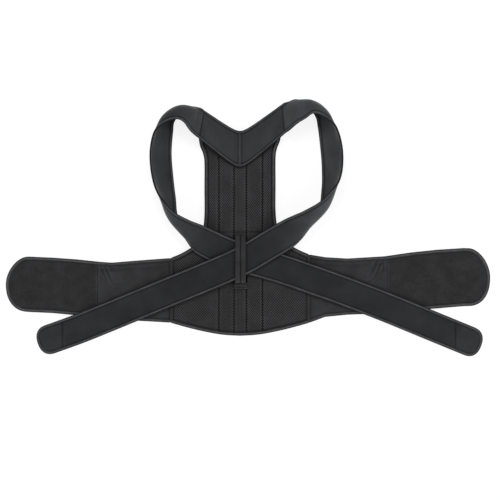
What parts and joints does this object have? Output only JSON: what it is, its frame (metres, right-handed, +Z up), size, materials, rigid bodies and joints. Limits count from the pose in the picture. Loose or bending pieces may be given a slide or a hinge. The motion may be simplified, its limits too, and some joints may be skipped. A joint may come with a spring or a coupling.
{
  "type": "posture corrector",
  "caption": "Shoulder and back brace: padded mesh back panel with yoke, crossing shoulder straps under a keeper, elastic waist belt with fastening pads.",
  "frame": {"origin": "on the table under the middle of the whole, laid flat with its back up", "axes": "+X along the waist belt to the picture's right, +Y towards the shoulders, +Z up from the table"},
  "size_m": [0.968, 0.511, 0.045],
  "materials": {
    "spacer_mesh": "open diamond mesh over soft padding, matt",
    "binding_tape": "fine woven tape, slightly lighter than the rest",
    "brushed_fabric": "smooth brushed knit, soft sheen at grazing angles",
    "fastening_fabric": "brushed knit with a stitched fastening patch",
    "elastic_mesh": "stretch mesh, matt",
    "loop_fabric": "napped loop pile with soft dents",
    "webbing": "ribbed woven webbing"
  },
  "bodies": {
    "root": {"spine_panel": "spacer_mesh", "binding_right": "binding_tape", "binding_left": "binding_tape", "binding_bottom": "binding_tape", "yoke_right": "brushed_fabric", "yoke_left": "brushed_fabric", "strap_right": "brushed_fabric", "strap_left": "brushed_fabric", "strap_right_tip": "fastening_fabric", "strap_left_tip": "fastening_fabric", "wing_right": "elastic_mesh", "wing_left": "elastic_mesh", "pad_right": "loop_fabric", "pad_left": "loop_fabric", "keeper_loop": "webbing", "keeper_foot": "webbing"}
  },
  "joints": []
}
